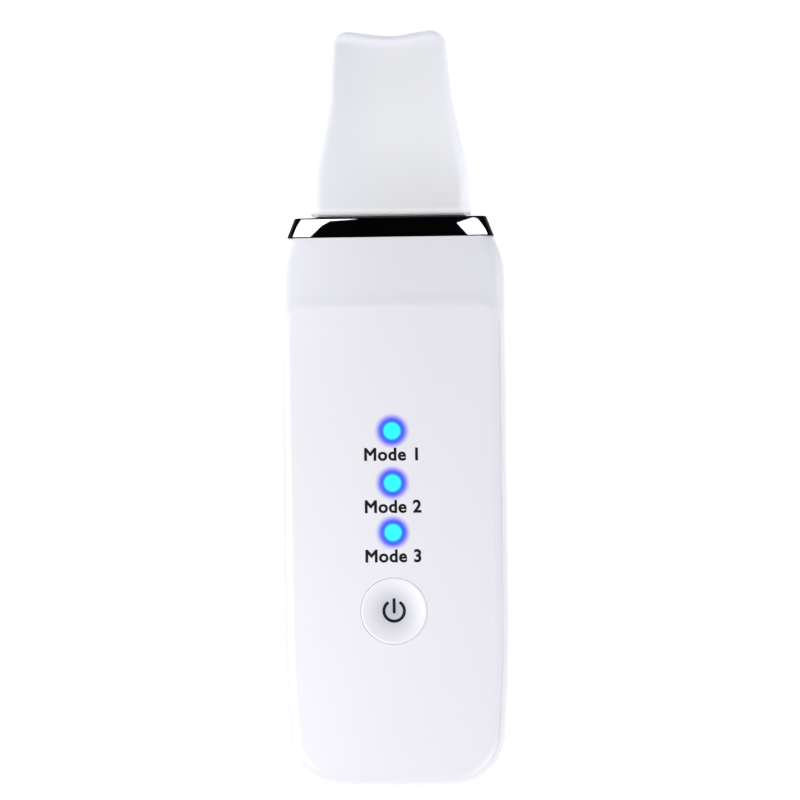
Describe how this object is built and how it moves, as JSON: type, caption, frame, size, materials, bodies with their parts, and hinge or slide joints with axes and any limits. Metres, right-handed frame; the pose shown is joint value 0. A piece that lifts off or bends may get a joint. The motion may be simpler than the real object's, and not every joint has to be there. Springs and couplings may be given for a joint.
{
  "type": "ultrasonic skin scrubber",
  "caption": "Flat white rechargeable facial skin scrubber with a capped steel spatula blade, a black chrome collar, lit mode lights and a dished power button.",
  "frame": {"origin": "middle of the footprint, on the surface that the back of the device rests on", "axes": "+Z out of the front face with the lights and the button, +Y along the device towards the blade's tip, +X to the right seen from the front"},
  "size_m": [0.0498, 0.165, 0.018],
  "materials": {
    "shell_white": "satin-gloss moulded ABS",
    "button_white": "satin-gloss moulded ABS",
    "cap_frosted": "frosted translucent polypropylene",
    "collar_chrome": "black chrome plating",
    "blade_steel": "fine brushed stainless sheet",
    "electrode_steel": "polished stainless plate",
    "silicone_black": "matt silicone",
    "pad_rubber": "soft damping rubber",
    "foam_black": "adhesive foam",
    "steel": "bright zinc plated or stainless",
    "ceramic": "fired piezo ceramic",
    "silver_film": "fired silver electrode",
    "circuit_board": "green solder mask",
    "chip_black": "moulded epoxy",
    "capacitor": "sleeved aluminium can",
    "ferrite": "sintered ferrite",
    "copper": "enamelled copper wire",
    "contact_gold": "gold plated",
    "baffle_black": "moulded nylon",
    "connector_cream": "moulded nylon",
    "plunger_black": "moulded acetal",
    "led_body": "epoxy over a blue chip",
    "lens_blue": "clear acrylic, lit cyan with a blue edge",
    "cell_foil": "laminated pouch foil",
    "wire_red": "insulated wire",
    "wire_black": "insulated wire",
    "wire_white": "insulated wire"
  },
  "bodies": {
    "handpiece": {"battery_cell": "cell_foil", "battery_circuit": "circuit_board", "battery_header": "connector_cream", "battery_lead_black": "wire_black", "battery_lead_red": "wire_red", "battery_pad": "foam_black", "battery_plug": "connector_cream", "blade": "blade_steel", "blade_lead": "wire_white", "blade_seal": "silicone_black", "board_capacitors": "capacitor", "board_resistors": "chip_black", "board_screws": "steel", "case_screws": "steel", "clamp_bar": "steel", "clamp_screws": "steel", "collar": "collar_chrome", "contact_spring": "steel", "controller_chip": "chip_black", "damper_pad_front": "pad_rubber", "damper_pad_rear": "pad_rubber", "driver_transistors": "chip_black", "front_shell": "shell_white", "hand_electrode": "electrode_steel", "led_bottom": "led_body", "led_middle": "led_body", "led_top": "led_body", "light_baffle": "baffle_black", "light_pipe_bottom": "lens_blue", "light_pipe_middle": "lens_blue", "light_pipe_top": "lens_blue", "main_board": "circuit_board", "piezo_disc": "ceramic", "piezo_electrode": "silver_film", "piezo_lead_red": "wire_red", "piezo_lead_white": "wire_white", "rear_shell": "shell_white", "socket_contacts": "contact_gold", "socket_insert": "chip_black", "socket_shell": "steel", "switch_base": "chip_black", "switch_cover": "steel", "switch_dome": "steel", "transformer_core": "ferrite", "transformer_winding": "copper"},
    "power_button": {"power_button": "button_white"},
    "switch_plunger": {"switch_plunger": "plunger_black"},
    "blade_cap": {"blade_cap": "cap_frosted"}
  },
  "joints": [
    {"name": "power_button_press", "type": "slide", "parent": "handpiece", "child": "power_button", "axis": [0, 0, -1], "range_m": [0, 0.0006], "stiffness_N_per_m": 400, "springref_m": -0.002},
    {"name": "switch_plunger_press", "type": "slide", "parent": "handpiece", "child": "switch_plunger", "axis": [0, 0, -1], "range_m": [0, 0.0006], "deforming": ["switch_dome"]},
    {"name": "blade_cap_pull", "type": "slide", "parent": "handpiece", "child": "blade_cap", "axis": [0, 1, 0], "range_m": [0, 0.045]}
  ],
  "couplings": [
    {"joint": "switch_plunger_press", "follows": "power_button_press", "ratio": 1}
  ]
}
